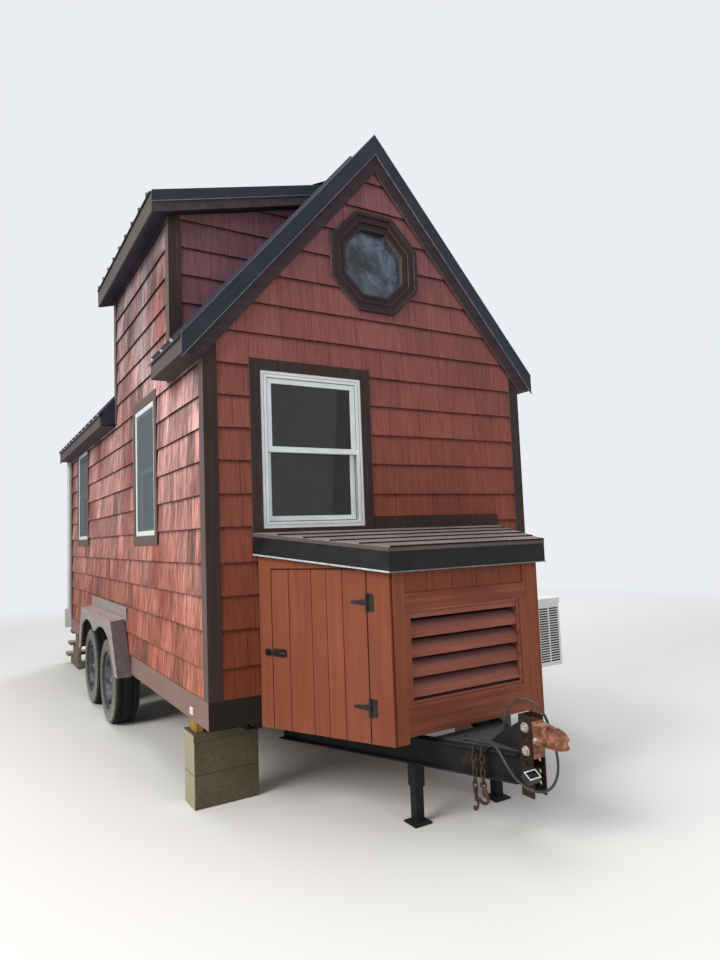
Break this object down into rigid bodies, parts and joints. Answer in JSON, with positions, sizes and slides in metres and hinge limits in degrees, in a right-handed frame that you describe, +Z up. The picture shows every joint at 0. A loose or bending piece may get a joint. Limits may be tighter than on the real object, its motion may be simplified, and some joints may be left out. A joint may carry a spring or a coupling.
{
  "type": "tiny house on wheels",
  "caption": "Tiny house on a tandem-axle trailer: shingled gable body, metal roof with shed dormer, tongue locker, A-frame hitch and block supports.",
  "frame": {"origin": "bottom centre of the whole object's bounding box, on the ground", "axes": "+X to the right seen from the hitch end, +Y from the hitch towards the rear, +Z up"},
  "size_m": [2.9534, 7.4808, 4.2561],
  "materials": {
    "appliance": "off-white enamel",
    "black_trim": "black",
    "cable_sheath": "grey-black, dusty",
    "fender_wood": "weathered brown",
    "floor_wood": "plain",
    "frame_steel": "black enamel, weathered",
    "locker_shingle": "mauve-brown shingles",
    "locker_wood": "brown stain",
    "masonry": "grey-brown, rough",
    "pane": "clear",
    "raw_steel": "rusted",
    "roof_metal": "dark baked enamel",
    "siding": "red-brown stained shingles",
    "tread_rubber": "plain",
    "trim": "dark brown paint",
    "wheel_steel": "silver enamel",
    "white_pipe": "white",
    "window_frame": "white vinyl"
  },
  "bodies": {
    "house": {"end_walls": "siding", "side_walls": "siding", "dormer_walls": "siding", "floor": "floor_wood", "roof_right": "roof_metal", "dormer_roof": "roof_metal", "dormer_trim": "trim", "roof_left": "roof_metal", "ridge_cap": "roof_metal", "rake_boards": "trim", "eave_boards": "trim", "rake_metal": "roof_metal", "corner_boards": "trim", "skirt_boards": "trim", "front_windows": "window_frame", "side_windows": "window_frame", "octagon_window": "trim", "window_glass": "pane", "wall_trim": "trim", "entry_frame": "trim", "entry_door": "trim", "rear_steps": "fender_wood", "main_rails": "frame_steel", "cross_members": "frame_steel", "tongue_rails": "frame_steel", "hitch_post": "frame_steel", "coupler": "raw_steel", "hitch_bolts": "raw_steel", "chain_plate": "frame_steel", "safety_chains": "raw_steel", "trailer_cable": "cable_sheath", "cable_fittings": "cable_sheath", "tongue_props": "frame_steel", "crib_blocks": "masonry", "crib_caps": "masonry", "crib_shims": "floor_wood", "axles": "frame_steel", "leaf_springs": "frame_steel", "fenders": "fender_wood", "wheel_wells": "frame_steel", "box_sides": "locker_wood", "box_front": "locker_wood", "box_floor": "locker_wood", "box_roof": "locker_shingle", "box_fascia": "black_trim", "louvre": "locker_wood", "frame_hardware": "black_trim", "ac_unit": "appliance", "ac_brackets": "frame_steel", "corner_pipe": "white_pipe"},
    "box_door": {"box_door": "locker_wood", "door_hardware": "black_trim"},
    "wheel_left_front": {"tyre_left_front": "tread_rubber", "rim_left_front": "wheel_steel"},
    "wheel_left_rear": {"tyre_left_rear": "tread_rubber", "rim_left_rear": "wheel_steel"},
    "wheel_right_front": {"tyre_right_front": "tread_rubber", "rim_right_front": "wheel_steel"},
    "wheel_right_rear": {"tyre_right_rear": "tread_rubber", "rim_right_rear": "wheel_steel"}
  },
  "joints": [
    {"name": "box_door_hinge", "type": "hinge", "parent": "house", "child": "box_door", "pos_m": [-0.69453, -2.97776, 0.9], "axis": [0, 0, 1], "range_deg": [0, 110]},
    {"name": "wheel_left_front_spin", "type": "hinge", "parent": "house", "child": "wheel_left_front", "pos_m": [-1.29833, 0.24538, 0.36], "axis": [1, 0, 0], "continuous": true},
    {"name": "wheel_left_rear_spin", "type": "hinge", "parent": "house", "child": "wheel_left_rear", "pos_m": [-1.29833, 1.11538, 0.36], "axis": [1, 0, 0], "continuous": true},
    {"name": "wheel_right_front_spin", "type": "hinge", "parent": "house", "child": "wheel_right_front", "pos_m": [1.08367, 0.24538, 0.36], "axis": [1, 0, 0], "continuous": true},
    {"name": "wheel_right_rear_spin", "type": "hinge", "parent": "house", "child": "wheel_right_rear", "pos_m": [1.08367, 1.11538, 0.36], "axis": [1, 0, 0], "continuous": true}
  ]
}
